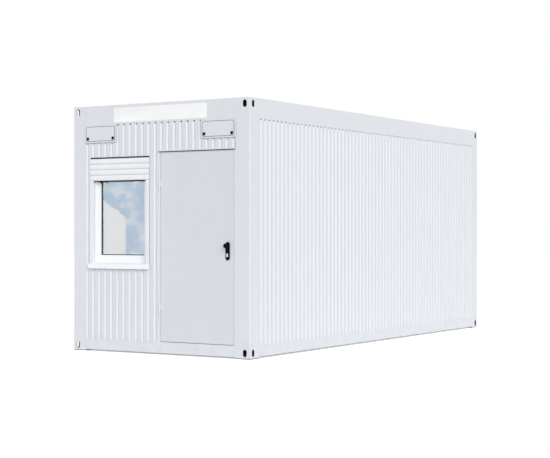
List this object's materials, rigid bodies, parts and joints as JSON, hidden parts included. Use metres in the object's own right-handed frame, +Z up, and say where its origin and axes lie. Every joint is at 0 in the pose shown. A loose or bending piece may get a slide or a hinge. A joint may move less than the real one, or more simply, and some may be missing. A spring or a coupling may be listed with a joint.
{
  "type": "sanitary container",
  "caption": "Steel modular sanitary cabin on corner castings, with grooved walls, an outward-opening door, a window with a roller shutter box and service hatches on the front.",
  "frame": {"origin": "middle of the footprint of the frame, at the underside of the bottom corner castings", "axes": "+Z up, +Y from the front (the end with the door and window) to the back, +X to the right as seen from the front"},
  "size_m": [2.435, 6.117, 2.82],
  "materials": {
    "steel_white": "smooth semi-gloss paint on cold-rolled steel",
    "steel_door": "smooth semi-gloss paint on the door",
    "steel_zinc": "hot-dip galvanised sheet",
    "floor_vinyl": "matte sheet vinyl floor",
    "ceiling_board": "white coated board",
    "window_plastic": "white window profile",
    "window_pane": "clear insulating glass",
    "shutter_white": "white roller shutter box and guides",
    "sill_white": "white painted aluminium",
    "handle_black": "black fittings",
    "cylinder_metal": "nickel-plated lock cylinder",
    "hatch_white": "white painted steel hatch",
    "latch_black": "black plastic latch",
    "hinge_paint": "painted steel hinge"
  },
  "bodies": {
    "container": {"casting_bottom_front_left": "steel_white", "casting_bottom_front_right": "steel_white", "casting_bottom_back_right": "steel_white", "casting_bottom_back_left": "steel_white", "casting_top_front_left": "steel_white", "casting_top_front_right": "steel_white", "casting_top_back_right": "steel_white", "casting_top_back_left": "steel_white", "corner_post_front_left": "steel_white", "corner_post_front_right": "steel_white", "corner_post_back_right": "steel_white", "corner_post_back_left": "steel_white", "bottom_rail_front": "steel_white", "top_rail_front": "steel_white", "bottom_rail_right": "steel_white", "top_rail_right": "steel_white", "bottom_rail_back": "steel_white", "top_rail_back": "steel_white", "bottom_rail_left": "steel_white", "top_rail_left": "steel_white", "left_wall": "steel_white", "right_wall": "steel_white", "back_wall": "steel_white", "front_wall": "steel_white", "front_wall_over_door": "steel_white", "floor_deck": "floor_vinyl", "ceiling_panel": "ceiling_board", "roof_sheet": "steel_zinc", "roof_end_front": "steel_zinc", "roof_end_back": "steel_zinc", "door_frame": "steel_white", "hinge_pins": "hinge_paint", "drip_rail": "steel_white", "window_frame": "window_plastic", "window_sash": "window_plastic", "window_glass": "window_pane", "shutter_box": "shutter_white", "shutter_guides": "shutter_white", "window_sill": "sill_white", "hatch_frames": "hatch_white", "hatch_flaps": "hatch_white", "hatch_latches": "latch_black"},
    "door": {"door_leaf": "steel_door", "hinge_knuckles": "hinge_paint", "lock_plate": "handle_black", "inside_handle": "handle_black", "lock_cylinder": "cylinder_metal", "door_knob": "handle_black"}
  },
  "joints": [
    {"name": "door_hinge", "type": "hinge", "parent": "container", "child": "door", "pos_m": [0.0235, -3.0375, 1.2055], "axis": [0, 0, -1], "range_deg": [0, 110]}
  ]
}
